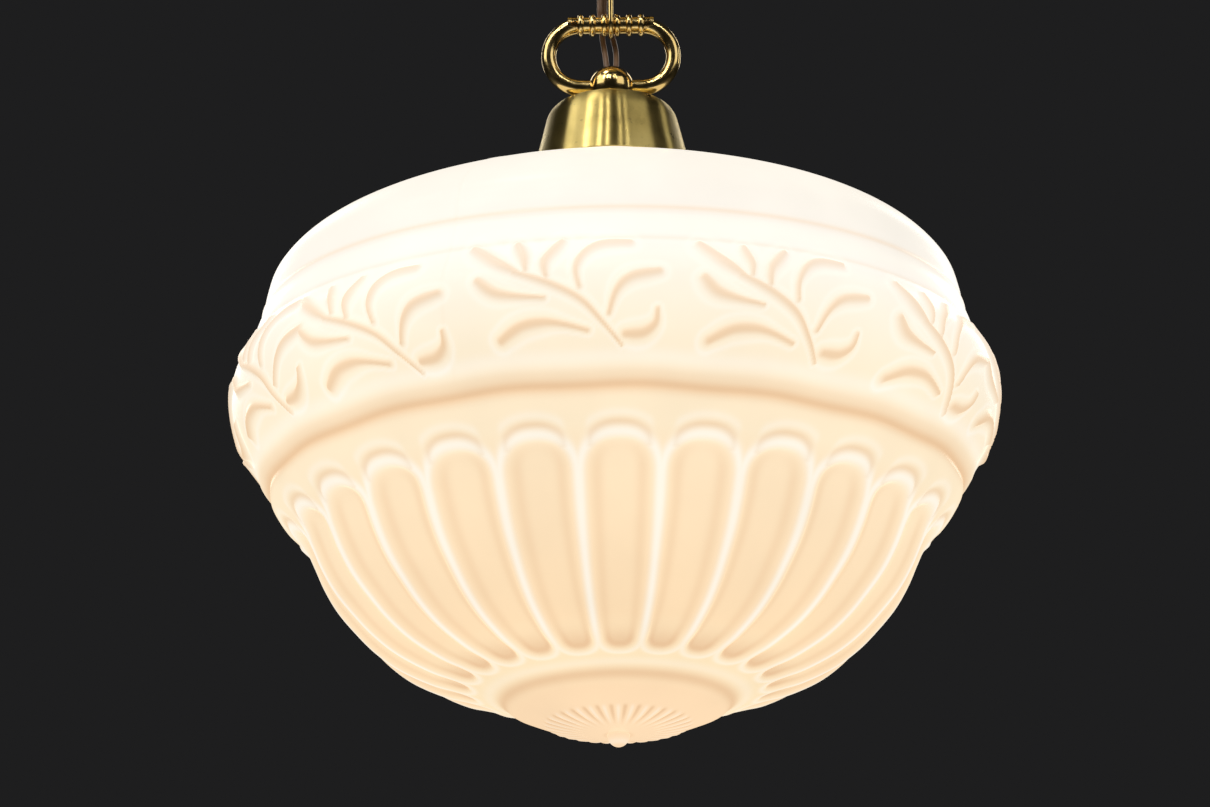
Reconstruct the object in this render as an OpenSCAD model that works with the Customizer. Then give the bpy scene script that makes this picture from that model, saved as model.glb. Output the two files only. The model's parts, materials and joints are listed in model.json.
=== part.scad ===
// Pendant ceiling light: a pressed opal glass bowl hung on a short chain from a brass canopy.
// The origin is the centre of the ceiling plane, and everything hangs below it.

/* [Suspension] */
// Ceiling plane to the lowest point of the glass
drop = 500; // [500:1:500]
// Thickness of the chain wire
link_wire = 2.5; // [2.2:0.1:2.6]
// Distance across the chain link, wire centre to wire centre
link_across = 11.6; // [11.4:0.1:12]
// Length of the chain link, wire centre to wire centre
link_long = 34; // [33.8:0.1:34.2]

/* [Canopy] */
// Diameter of the canopy at the ceiling
canopy_d = 112; // [108:1:130]
// Depth of the canopy
canopy_deep = 41; // [41:0.5:41]
// Thickness of the spun brass sheet
sheet = 1.1; // [0.9:0.1:1.3]
// Distance between the two ceiling screws
screw_spacing = 76; // [70:1:80]
// Diameter of the two ceiling screw holes
screw_hole_d = 4.5; // [4:0.1:5]

/* [Hanging loop] */
// Width of the loop, outside
loop_w = 65.4; // [62:0.1:68]
// Thickness of the loop's rod
loop_rod = 7.8; // [7.4:0.1:8]
// Diameter over the beads on the upper bar
bead_d = 10.8; // [10:0.1:11]
// Diameter of the ball that the loop stands on
ball_d = 20.8; // [20:0.1:22]

/* [Shade] */
// Largest diameter of the glass
shade_d = 350; // [346:1:356]
// Thickness of the glass
shade_wall = 4; // [3:0.5:4]
// Diameter of the opening in the neck
neck_bore_d = 60; // [59:0.5:60]

/* [Bulb] */
// Diameter of the bulb
bulb_d = 40; // [38:1:41]
// Outside diameter of the bulb's screw cap
bulb_cap_d = 26.4; // [26.4:0.1:26.4]

/* [Wires] */
// Diameter of one insulated wire
wire_d = 2.6; // [2.4:0.1:2.6]

/* [Hidden] */
$fn = 96;

play = 0.05;                     // running clearance on a radius
pipe_r = 4.98;                   // M10 x 1 pipe thread, outside
tapped_r = 5;                    // M10 x 1 thread, inside
pipe_bore_r = 3.8;
nut_r = 9.8;                     // M10 nut across its corners
nut_high = 6;
link_r = link_wire / 2;
link_half = link_across / 2;
link_step = link_long - link_wire - play;

// Heights, from the ceiling down
bar_thick = 2.5;
barrel_top = -26;
barrel_low = -51;
barrel_r = 13;
eye_rod = 4.5;
eye_half = 9.75;
eye_z = -59;
top_link_z = eye_z - eye_half + eye_rod / 2 + link_r + play;
middle_link_z = top_link_z - link_step;
bottom_link_z = middle_link_z - link_step;
bar_r = loop_rod / 2 + 0.1;
bar_z = bottom_link_z - link_long + link_r + bar_r + play;
loop_half = 15.4;
ball_z = bar_z - 2 * loop_half;
cap_top = ball_z - 7.8;
loop_straight = loop_w / 2 - loop_half - loop_rod / 2;

// Shade: heights above the tip of the glass
function at(h) = h - drop;
neck_r = neck_bore_d / 2;
neck_top = 274;
plate_low = neck_top + 1.5;
plate_thick = 2;
holder_r = 19.5;
insert_low = 252;
insert_high = 258;
shell_low = 224;
shell_bore_r = bulb_cap_d / 2 + play;
bulb_tip = 250;
wide = shade_d / 350;

// Round button at the tip of the glass, [radius, height above the tip]
button_r = 5;
button = [[0, 0], [2, 0.4], [3.7, 1.5], [4.7, 3], [button_r, 4.1]];

// Outline of the glass from the middle to the neck, [radius, height above the tip]
outline = [
  [0, 3.9], [7, 4.2], [14, 5.1], [20, 6.4], [27, 8], [33, 9.7], [36, 11.1], [39, 12.4],
  [45, 15], [50, 17.4], [52.5, 20], [56, 22.6], [65, 25.2], [75, 28.4], [85, 31.8], [99, 39],
  [110, 47.5], [119, 57], [127, 67], [133, 77.5], [137.5, 88], [140.5, 94.5], [146, 101],
  [152, 107.5], [156.5, 115], [159.5, 121.5], [165, 130], [171, 140], [174, 151], [175, 162],
  [173.5, 171], [168.5, 179.5], [163, 190], [159.5, 199], [158, 207], [154.5, 217],
  [145.5, 227], [132, 235.5], [113, 243.5], [88, 252.5], [64, 261], [48, 266.7], [37, 270.5]
];

// Catmull-Rom curve through a list of points
function pick(p, i) = p[max(0, min(len(p) - 1, i))];
function curve_at(p, i, t) =
  0.5 * (2 * pick(p, i) + (pick(p, i + 1) - pick(p, i - 1)) * t
    + (2 * pick(p, i - 1) - 5 * pick(p, i) + 4 * pick(p, i + 1) - pick(p, i + 2)) * t * t
    + (3 * pick(p, i) - pick(p, i - 1) - 3 * pick(p, i + 1) + pick(p, i + 2)) * t * t * t);
function curve(p, steps) =
  [for (i = [0 : len(p) - 2], k = [0 : steps - 1]) curve_at(p, i, k / steps), p[len(p) - 1]];

// The same curve moved inwards by a distance
function along(p, i) = pick(p, i + 1) - pick(p, i - 1);
function inward(p, i, d) = p[i] + d * [-along(p, i)[1], along(p, i)[0]] / norm(along(p, i));

// Tube with flat ends swept along a route of points
function unit(v) = v / norm(v);
function heading(p, i) = unit(pick(p, i + 1) - pick(p, i - 1));
function side_of(v) = unit(cross(v, abs(v[1]) > 0.9 ? [1, 0, 0] : [0, 1, 0]));
module tube_along(route, d, sides = 8) {
  corners = [for (i = [0 : len(route) - 1], k = [0 : sides - 1])
    let (v = heading(route, i), u = side_of(v), w = cross(v, u), a = 360 * k / sides)
      route[i] + d / 2 * (cos(a) * u + sin(a) * w)];
  last = len(route) - 1;
  walls = [for (i = [0 : last - 1], k = [0 : sides - 1])
    let (a = i * sides + k, b = i * sides + (k + 1) % sides) [a, b, b + sides, a + sides]];
  low_end = [for (k = [0 : sides - 1]) sides - 1 - k];
  high_end = [for (k = [0 : sides - 1]) last * sides + k];
  polyhedron(points = corners, faces = concat([low_end], walls, [high_end]), convexity = 6);
}

module ring(outer_r, inner_r, low, high) {
  translate([0, 0, low]) difference() {
    cylinder(r = outer_r, h = high - low);
    translate([0, 0, -1]) cylinder(r = inner_r, h = high - low + 2);
  }
}

module hex_nut(low) {
  difference() {
    intersection() {
      translate([0, 0, low]) cylinder(r = nut_r, h = nut_high, $fn = 6);
      translate([0, 0, low - 1]) cylinder(r = nut_r * 0.965, h = nut_high + 2);
    }
    translate([0, 0, low - 1]) cylinder(r = tapped_r, h = nut_high + 2);
  }
}

// Half of a rod bent round to a radius, open upwards
module half_turn(bend_r, rod_r) {
  rotate([-90, 0, 0]) rotate_extrude(angle = 180) translate([bend_r, 0]) circle(r = rod_r, $fn = 32);
}

// One oval link in the XZ plane, with its upper wire centre at the origin
module chain_link() {
  straight = link_long - link_across;
  difference() {
    union() {
      translate([0, 0, -link_half]) mirror([0, 0, 1]) half_turn(link_half, link_r);
      translate([0, 0, -link_half - straight]) half_turn(link_half, link_r);
      for (x = [-link_half, link_half])
        translate([x, 0, -link_half - straight]) cylinder(r = link_r, h = straight, $fn = 32);
    }
    // Butt joint of the unwelded link
    translate([link_half - 2, -2, -link_long / 2 - 0.1]) cube([4, 4, 0.2]);
  }
}

// Bent strip of sheet, drawn edge-on through a list of points, with mitred bends
function normal(v) = [-v[1], v[0]] / norm(v);
function mitre(p, i) =
  let (a = normal(p[i] - p[max(0, i - 1)] + (i == 0 ? p[1] - p[0] : [0, 0])),
    b = normal(i == len(p) - 1 ? p[i] - p[i - 1] : p[i + 1] - p[i]), m = (a + b) / norm(a + b))
    m / (m * b);
module strip(points, thick, width) {
  last = len(points) - 1;
  near = [for (i = [0 : last]) points[i] + mitre(points, i) * thick / 2];
  far = [for (i = [last : -1 : 0]) points[i] - mitre(points, i) * thick / 2];
  translate([0, width / 2, 0]) rotate([90, 0, 0]) linear_extrude(width) polygon(concat(near, far));
}

// ---- Ceiling fitting ----

bar_half = 48;
bar_wide = 20;
block_x = 13.5;
block_size = [17, 24, 13];
pole_y = 4;
pole_z = -13.5;
module crossbar() {
  color("silver") difference() {
    translate([0, 0, -bar_thick]) union() {
      translate([-bar_half + bar_wide / 2, -bar_wide / 2, 0])
        cube([2 * bar_half - bar_wide, bar_wide, bar_thick]);
      for (x = [-1, 1]) translate([x * (bar_half - bar_wide / 2), 0, 0])
        cylinder(r = bar_wide / 2, h = bar_thick);
    }
    translate([0, 0, -bar_thick - 1]) cylinder(r = tapped_r, h = bar_thick + 2);
    for (x = [-1, 1]) translate([x * screw_spacing / 2, 0, -bar_thick - 1])
      cylinder(r = screw_hole_d / 2, h = bar_thick + 2, $fn = 48);
    translate([block_x + block_size[0] / 2, 0, -bar_thick - 1]) cylinder(r = 1.5, h = bar_thick + 2, $fn = 32);
  }
}

slot_wide = 6.6;
module ceiling_nipple() {
  color("goldenrod") difference() {
    ring(pipe_r, pipe_bore_r, -38, -0.4);
    // Side opening where the wires leave for the terminal block
    translate([0, -slot_wide / 2, barrel_top + 1]) cube([8, slot_wide, 14.5]);
  }
}

module nipple_lock_nut() {
  color("silver") hex_nut(-bar_thick - nut_high);
}

module canopy_loop() {
  color("goldenrod") difference() {
    union() {
      translate([0, 0, barrel_low]) cylinder(r = barrel_r, h = barrel_top - barrel_low);
      translate([0, 0, eye_z]) half_turn(eye_half, eye_rod / 2);
      for (x = [-eye_half, eye_half])
        translate([x, 0, eye_z]) cylinder(r = eye_rod / 2, h = barrel_low - eye_z + 1, $fn = 32);
    }
    translate([0, 0, -40]) cylinder(r = tapped_r, h = 20);
    translate([0, 0, barrel_low - 1]) cylinder(r = 4.2, h = 20);
    translate([0, 0, barrel_low - 1]) cylinder(r = 5.5, h = 5);
    // Thread runout above the collar's travel
    translate([0, 0, barrel_top - 3]) difference() {
      cylinder(r = barrel_r + 1, h = 1.5);
      translate([0, 0, -1]) cylinder(r = barrel_r - 0.6, h = 4);
    }
  }
}

module wire_bush() {
  color("ivory") union() {
    ring(5.45, 3.7, barrel_low, barrel_low + 4);
    ring(6.6, 3.7, barrel_low - 1.2, barrel_low);
  }
}

module terminal_block() {
  color("ivory") difference() {
    translate([block_x, -block_size[1] / 2, -bar_thick - block_size[2]]) cube(block_size);
    for (y = [-pole_y, pole_y]) {
      translate([block_x - 1, y, pole_z + 1.5]) rotate([0, 90, 0])
        cylinder(r = 2.6, h = block_size[0] + 2, $fn = 32);
      for (x = [4.5, 12.5]) translate([block_x + x, y, -bar_thick - block_size[2] - 1])
        cylinder(r = 1.7, h = 5, $fn = 32);
    }
    translate([block_x + block_size[0] / 2, 0, -bar_thick - block_size[2] - 1]) cylinder(r = 1.5, h = 20, $fn = 32);
  }
}

insert_x = block_x + 3;
insert_long = block_size[0] - 6;
module terminal_inserts() {
  color("goldenrod") for (y = [-pole_y, pole_y]) difference() {
    translate([insert_x, y, pole_z + 1.5]) rotate([0, 90, 0]) cylinder(r = 2.55, h = insert_long, $fn = 32);
    translate([insert_x - 1, y, pole_z + 1.5]) rotate([0, 90, 0]) cylinder(r = 1.5, h = insert_long + 2, $fn = 32);
    for (x = [4.5, 12.5]) translate([block_x + x, y, pole_z - 3]) cylinder(r = 1.25, h = 4.5, $fn = 32);
  }
}

module terminal_screws() {
  color("silver") for (y = [-pole_y, pole_y], x = [4.5, 12.5])
    translate([block_x + x, y, -bar_thick - block_size[2]]) difference() {
      cylinder(r = 1.2, h = 3.2, $fn = 32);
      translate([-2, -0.25, -0.5]) cube([4, 0.5, 1]);
    }
}

module block_screw() {
  color("silver") translate([block_x + block_size[0] / 2, 0, -bar_thick - block_size[2]]) difference() {
    union() {
      cylinder(r = 1.45, h = block_size[2] + bar_thick - 0.3, $fn = 32);
      translate([0, 0, -1.5]) cylinder(r = 2.1, h = 1.5, $fn = 32);
    }
    translate([-3, -0.3, -2]) cube([6, 0.6, 1.1]);
  }
}

canopy_low = -canopy_deep;
module canopy() {
  r = canopy_d / 2;
  seat_r = 19;
  outer = concat(
    [[r, 0], [r, -3.5], [r - 1.6, -5]],
    [for (a = [0 : 6 : 90]) [r - 4 - (r - 4 - seat_r) * (1 - cos(a)), -7 - (canopy_deep - 7) * sin(a)]],
    [[barrel_r + play + 0.15, canopy_low]]);
  inner = concat(
    [[barrel_r + play + 0.15, canopy_low + sheet]],
    [for (a = [90 : -6 : 0]) [r - 4 - sheet - (r - 4 - seat_r) * (1 - cos(a)),
      -7 - (canopy_deep - 7 - sheet) * sin(a)]],
    [[r - 1.6 - sheet, -5], [r - sheet, -3.5], [r - sheet, 0]]);
  color("goldenrod") rotate_extrude($fn = 128) polygon(concat(outer, inner));
}

collar_high = 9;
collar_r = 17.2;
knurls = 30;
module screw_collar() {
  low = canopy_low - play - collar_high;
  color("goldenrod") difference() {
    rotate_extrude() polygon([
      [barrel_r + play, low], [collar_r - 1.5, low], [collar_r - 0.4, low + 1.2], [collar_r, low + 2],
      [collar_r, low + 6.2], [collar_r - 0.7, low + 7], [collar_r - 0.7, low + 7.6],
      [collar_r + 0.6, low + 8.2], [collar_r + 0.6, low + collar_high], [barrel_r + play, low + collar_high]]);
    for (k = [0 : knurls - 1]) rotate(360 * k / knurls)
      translate([collar_r + 0.35, 0, low + 1.6]) cylinder(r = 0.75, h = 5, $fn = 16);
  }
}

// ---- Chain ----

module link_top() {
  color("darkgoldenrod") translate([0, 0, top_link_z]) rotate(90) chain_link();
}

module link_middle() {
  color("darkgoldenrod") translate([0, 0, middle_link_z]) chain_link();
}

module link_bottom() {
  color("darkgoldenrod") translate([0, 0, bottom_link_z]) rotate(90) chain_link();
}

// ---- Lamp head ----

beads = 6;
bead_step = 5.5;
bead_gap = 5.9;                 // wider gap in the middle, where the link hangs
bead_wide = 2.7;
rod_in_ball = 5.3;
function bead_x(k) = (k - (beads - 1) / 2) * bead_step + (k < beads / 2 ? -1 : 1) * (bead_gap - bead_step) / 2;
module hanging_loop() {
  r = loop_rod / 2;
  color("gold") union() {
    for (s = [-1, 1]) translate([s * loop_straight, 0, bar_z - loop_half])
      rotate([0, s * 90, 0]) mirror([0, 0, 1]) half_turn(loop_half, r);
    translate([-loop_straight, 0, bar_z]) rotate([0, 90, 0]) cylinder(r = bar_r, h = 2 * loop_straight, $fn = 48);
    for (s = [0, 180]) rotate(s) translate([rod_in_ball, 0, ball_z])
      rotate([0, 90, 0]) cylinder(r = r, h = loop_straight - rod_in_ball, $fn = 48);
    for (k = [0 : beads - 1]) translate([bead_x(k), 0, bar_z]) rotate([0, 90, 0])
      rotate_extrude() translate([(bead_d - bead_wide) / 2, 0]) circle(r = bead_wide / 2, $fn = 24);
  }
}

module ball_hub() {
  color("gold") difference() {
    intersection() {
      translate([0, 0, ball_z]) sphere(r = ball_d / 2);
      translate([-20, -20, cap_top]) cube([40, 40, 40]);
    }
    translate([0, 0, cap_top - 1]) cylinder(r = tapped_r, h = 8.5);
    translate([0, 0, cap_top - 1]) cylinder(r = 3.7, h = 40);
    for (s = [0, 180]) rotate(s) translate([rod_in_ball, 0, ball_z])
      rotate([0, 90, 0]) cylinder(r = loop_rod / 2 + 0.02, h = 20);
  }
}

module lamp_nipple() {
  color("goldenrod") ring(pipe_r, pipe_bore_r, at(269), cap_top + 7);
}

cap_rim = 271.5;
module shade_cap() {
  bend = 12;
  shoulder = 18.6;
  top = cap_top + drop;
  rim_r = 36.3;
  lean = 14;
  outer = concat([[tapped_r + play, top]],
    [for (a = [90 : -4 : lean]) [shoulder + bend * cos(a), top - bend + bend * sin(a)]],
    [[rim_r, cap_rim]]);
  inner = concat([[rim_r - sheet, cap_rim]],
    [for (a = [lean : 4 : 90]) [shoulder + (bend - sheet) * cos(a), top - bend + (bend - sheet) * sin(a)]],
    [[tapped_r + play, top - sheet]]);
  color("goldenrod") translate([0, 0, -drop]) rotate_extrude($fn = 128) polygon(concat(outer, inner));
}

washer_thick = 1.2;
module cap_washer() {
  color("silver") ring(10, tapped_r + play, cap_top - sheet - washer_thick, cap_top - sheet);
}

module cap_lock_nut() {
  color("silver") hex_nut(cap_top - sheet - washer_thick - nut_high);
}

rivet_ring = 24.2;
rivet_r = 1.4;
arm_turn = 30;
module gallery_plate() {
  color("silver") difference() {
    ring(33, tapped_r + play, at(plate_low), at(plate_low + plate_thick));
    for (k = [0 : 2]) rotate(arm_turn + 120 * k) {
      translate([rivet_ring, 0, at(plate_low) - 1]) cylinder(r = rivet_r, h = 5, $fn = 32);
      rotate(60) translate([24.8, 0, at(plate_low) - 1]) cylinder(r = 4.5, h = 5, $fn = 48);
    }
  }
}

module plate_nut() {
  color("silver") hex_nut(at(plate_low + plate_thick));
}

module shade_gasket() {
  color("dimgray") ring(neck_r + 3, neck_r + 0.1, at(neck_top), at(plate_low));
}

// Spring steel strip that snaps out under the shoulder of the glass
arm_thick = 0.8;
arm_wide = 8;
arm_path = [[20.6, 275.1], [28.3, 275.1], [28.5, 262], [31, 258.6], [40.5, 263.6], [43.5, 261.8]];
module spring_arm(k) {
  color("lightsteelblue") rotate(arm_turn + 120 * (k - 1)) difference() {
    translate([0, 0, -drop]) strip(arm_path, arm_thick, arm_wide);
    translate([rivet_ring, 0, at(plate_low) - 3]) cylinder(r = rivet_r, h = 5, $fn = 32);
  }
}

module arm_rivets() {
  color("silver") for (k = [0 : 2]) rotate(arm_turn + 120 * k) translate([rivet_ring, 0, 0]) {
    translate([0, 0, at(plate_low) - arm_thick]) cylinder(r = rivet_r, h = plate_thick + arm_thick, $fn = 32);
    translate([0, 0, at(plate_low + plate_thick)]) cylinder(r = 2.6, h = 1.1, $fn = 32);
    translate([0, 0, at(plate_low) - arm_thick - 1]) cylinder(r = 2.4, h = 1, $fn = 32);
  }
}

// ---- Lampholder ----

module holder_cap() {
  h = holder_r;
  color("goldenrod") translate([0, 0, -drop]) rotate_extrude() polygon([
    [tapped_r, plate_low], [9, plate_low], [9, 272.5], [14.5, 270.8], [17.8, 267.6], [h, 263.5], [h, 246],
    [h - 1.4, 246], [h - 1.4, 263], [16.2, 266.3], [13, 268.6], [9, 269.5], [tapped_r, 269.5]]);
}

post_x = 9;
module porcelain_insert() {
  color("white") difference() {
    union() {
      translate([0, 0, at(insert_low)]) cylinder(r = 17.9, h = insert_high - insert_low);
      translate([-2.5, -8, at(insert_high)]) cube([5, 16, 1.6]);
    }
    for (x = [-post_x, post_x]) translate([x, 0, at(insert_low) - 1]) cylinder(r = 1.5, h = 10, $fn = 32);
  }
}

module centre_contact() {
  color("goldenrod") difference() {
    translate([0, 0, -drop]) strip([[-11.5, 251.6], [-5, 251.6], [0, 250.5], [4, 250.5]], 0.7, 4.5);
    translate([-post_x, 0, at(250)]) cylinder(r = 1.5, h = 5, $fn = 32);
  }
}

module side_contact() {
  color("goldenrod") difference() {
    translate([7, -2.5, at(251.3)]) cube([5.5, 5, 0.7]);
    translate([post_x, 0, at(250)]) cylinder(r = 1.5, h = 5, $fn = 32);
  }
}

module holder_terminals() {
  color("gold") for (x = [-post_x, post_x]) translate([x, 0, 0]) difference() {
    union() {
      translate([0, 0, at(251.3)]) cylinder(r = 1.48, h = 7, $fn = 32);
      translate([0, 0, at(insert_high)]) cylinder(r = 2.3, h = 3.6, $fn = 32);
      translate([0, 0, at(250.4)]) cylinder(r = 2.1, h = 0.85, $fn = 32);
    }
    translate([-3, -0.3, at(insert_high + 2.8)]) cube([6, 0.6, 2]);
  }
}

module screw_shell() {
  color("goldenrod") ring(shell_bore_r + 0.6, shell_bore_r, at(shell_low + 1), at(250.2));
}

module holder_skirt() {
  h = holder_r;
  color("goldenrod") translate([0, 0, -drop]) rotate_extrude() polygon([
    [shell_bore_r + 0.7, shell_low], [h - 1, shell_low], [h, shell_low + 1], [h, 229], [h + 1.2, 229.6],
    [h + 1.2, 231.4], [h, 232], [h, 245.9], [h - 1.5, 245.9], [h - 1.5, 251.9], [h - 3, 251.9],
    [h - 3, shell_low + 3], [shell_bore_r + 0.7, shell_low + 3]]);
}

// ---- Glass ----

module glass_shade() {
  outer = [for (p = curve(outline, 4)) if (p[0] * wide > button_r + 0.3) [p[0] * wide, p[1]]];
  last = len(outer) - 1;
  inner = [for (i = [last : -1 : 1]) inward(outer, i, shade_wall)];
  lip = [[neck_r + 3.3, neck_top - 2.6], [neck_r + 3.3, neck_top - 0.5], [neck_r + 2.8, neck_top],
    [neck_r + 0.4, neck_top], [neck_r, neck_top - 0.5], [neck_r, neck_top - 6], [neck_r + 1, neck_top - 7.3]];
  color("floralwhite") translate([0, 0, -drop]) rotate_extrude($fn = 144)
    polygon(concat(button, outer, lip, inner, [[0, outline[0][1] + shade_wall]]));
}

// ---- Bulb ----

bulb_r = bulb_d / 2;
bulb_mid = 190;
bulb_skin = 0.8;
function bulb_side(skin) = concat(
  [[bulb_cap_d / 2 - 0.9 - skin, 229], [bulb_cap_d / 2 - 0.9 - skin, 222.4], [13.5 - skin, 221],
    [13.8 - skin, 213], [15.4 - skin, 205.5], [18.2 - skin, 198.6]],
  [for (a = [10 : -10 : -80]) [(bulb_r - skin) * cos(a), bulb_mid + (bulb_r - skin) * sin(a)]],
  [[0, bulb_mid - bulb_r + skin]]);
module bulb_glass() {
  outer = bulb_side(0);
  inner = bulb_side(bulb_skin);
  color("white") translate([0, 0, -drop]) rotate_extrude()
    polygon(concat(outer, [for (i = [len(inner) - 1 : -1 : 0]) inner[i]]));
}

module bulb_cap() {
  color("silver") translate([0, 0, -drop]) rotate_extrude() polygon([
    [bulb_cap_d / 2 - 0.8, 222.8], [bulb_cap_d / 2 + 0.9, 222.8], [bulb_cap_d / 2, 223.9],
    [bulb_cap_d / 2, 244], [11.5, 246], [10.9, 245.6], [bulb_cap_d / 2 - 0.6, 243.6],
    [bulb_cap_d / 2 - 0.6, 223.5]]);
}

module bulb_insulator() {
  color("black") translate([0, 0, -drop]) rotate_extrude() polygon([
    [0, 243.6], [bulb_cap_d / 2 - 1, 243.6], [10.8, 245.3], [10.8, 246.4], [5.2, 249], [0, 249]]);
}

module bulb_contact() {
  color("silver") ring(4.6, 0.8, at(249), at(bulb_tip));
}

stem_high = 209;
module bulb_stem() {
  color("lightcyan") translate([0, 0, -drop]) rotate_extrude() polygon([
    [0, stem_high - 6], [2, stem_high - 5.6], [3.2, stem_high - 3], [3.2, stem_high],
    [5, 216], [7.5, 224], [10.8, 228], [10.8, 229], [0, 229]]);
}

filament_r = 10;
filament_z = 187;
module filament_supports() {
  color("gray") for (a = [0 : 72 : 288]) rotate(a) {
    long = norm([filament_r - 1.2, stem_high - 6 - filament_z - 1]);
    lean = atan2(filament_r - 1.2, stem_high - 6 - filament_z - 1);
    translate([1.2, 0, at(stem_high - 6.4)]) rotate([0, 180 - lean, 0]) cylinder(r = 0.25, h = long - 0.6, $fn = 16);
  }
}

module bulb_filament() {
  color("orange") translate([0, 0, at(filament_z)]) rotate(15) rotate_extrude(angle = 330)
    translate([filament_r, 0]) circle(r = 0.4, $fn = 16);
}

// ---- Wires ----

// Points of the two routes, from the lampholder up to the terminal block. Each stretch ends
// upright, halfway along a link, where the next one takes over.
route_a_lamp = [
  [-6.1, 0, -239], [-3.6, 0, -235], [-2, 0, -229], [-1.6, 0, -222], [-1.6, 0, -214], [-1.6, 0, -206],
  [-1.6, 0, -198], [-1.7, 0, -190], [-1.9, 0.2, -183], [-2.1, 1.4, -177], [-2.6, 3.6, -171],
  [-3.4, 5.8, -165], [-4.2, 6.9, -158], [-4.8, 6.2, -152], [-5, 5.4, -148], [-5, 5.4, -145.1]];
route_a_lower = [
  [-5, 5.4, -145], [-5, 5.4, -142], [-5.1, 5, -136], [-5.2, 4.8, -129], [-5.1, 4.8, -122],
  [-5, 5, -116], [-5, 5, -113.1]];
route_a_upper = [
  [-5, 5, -113], [-5, 5, -110], [-4.9, 5.2, -104], [-4.9, 5.2, -97], [-5, 5, -91], [-5.1, 4.8, -85],
  [-5.1, 4.8, -82.1]];
route_a_ceiling = [
  [-5.1, 4.8, -82], [-5.1, 4.8, -79], [-5.2, 4.8, -73], [-4.9, 4.3, -67], [-3.4, 1.5, -60],
  [-1.2, -1.1, -53], [-0.2, -1.7, -46], [0, -1.7, -38], [0, -1.7, -30], [0, -1.7, -24], [0.9, -1.8, -19],
  [3.9, -2, -14.8], [8.6, -2.9, -12.4], [12.6, -3.7, -12], [16.3, -4, -12]];
route_b_lamp = [
  [6.1, 0, -239], [3.6, 0, -235], [2, 0, -229], [1.6, 0, -222], [1.6, 0, -214], [1.6, 0, -206],
  [1.6, 0, -198], [1.8, 0, -190], [2, 0.3, -183], [2.2, 1.8, -177], [2.4, 4.6, -171], [1.9, 7.4, -165],
  [0.6, 9.3, -159], [-1.1, 9.6, -154], [-2.6, 8.6, -149.5], [-2.9, 8.2, -147.5], [-2.9, 8.2, -145.1]];
route_b_lower = [
  [-2.9, 8.2, -145], [-2.9, 8.2, -142], [-3, 7.6, -136], [-3.1, 7.2, -129], [-3, 7.2, -122],
  [-2.9, 7.4, -116], [-2.9, 7.4, -113.1]];
route_b_upper = [
  [-2.9, 7.4, -113], [-2.9, 7.4, -110], [-2.8, 7.6, -104], [-2.9, 7.6, -97], [-3, 7.3, -91],
  [-3.1, 7, -85], [-3.1, 7, -82.1]];
route_b_ceiling = [
  [-3.1, 7, -82], [-3.1, 7, -79], [-3.3, 6.8, -73], [-3.1, 6.4, -67], [-1.6, 4.2, -60],
  [-0.4, 2.1, -53], [0, 1.7, -46], [0, 1.7, -38], [0, 1.7, -30], [0, 1.7, -24], [0.9, 1.8, -19],
  [3.9, 2, -14.8], [8.6, 2.9, -12.4], [12.6, 3.7, -12], [16.3, 4, -12]];

module wire(route) {
  color("sienna") tube_along(route, wire_d);
}

crossbar();
ceiling_nipple();
nipple_lock_nut();
canopy_loop();
wire_bush();
terminal_block();
terminal_inserts();
terminal_screws();
block_screw();
screw_collar();
canopy();
link_top();
link_middle();
link_bottom();
hanging_loop();
ball_hub();
lamp_nipple();
shade_cap();
cap_washer();
cap_lock_nut();
gallery_plate();
plate_nut();
shade_gasket();
spring_arm(1);  // spring_arm_1
spring_arm(2);  // spring_arm_2
spring_arm(3);  // spring_arm_3
arm_rivets();
holder_cap();
porcelain_insert();
centre_contact();
side_contact();
holder_terminals();
screw_shell();
holder_skirt();
glass_shade();
bulb_glass();
bulb_cap();
bulb_insulator();
bulb_contact();
bulb_stem();
filament_supports();
bulb_filament();
wire(route_a_lamp);  // wire_a_lamp
wire(route_a_lower);  // wire_a_lower
wire(route_a_upper);  // wire_a_upper
wire(route_a_ceiling);  // wire_a_ceiling
wire(route_b_lamp);  // wire_b_lamp
wire(route_b_lower);  // wire_b_lower
wire(route_b_upper);  // wire_b_upper
wire(route_b_ceiling);  // wire_b_ceiling
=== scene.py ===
"""Looks of a pendant ceiling light: a lit opal glass bowl on a short brass chain.

Everything is in metres, in the CAD frame: the ceiling is at z = 0 and the lamp hangs below it.
Heights called "above the tip" are counted up from the lowest point of the glass.
"""

import json
import math

import bpy
import numpy as np
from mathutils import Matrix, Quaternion, Vector

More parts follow.
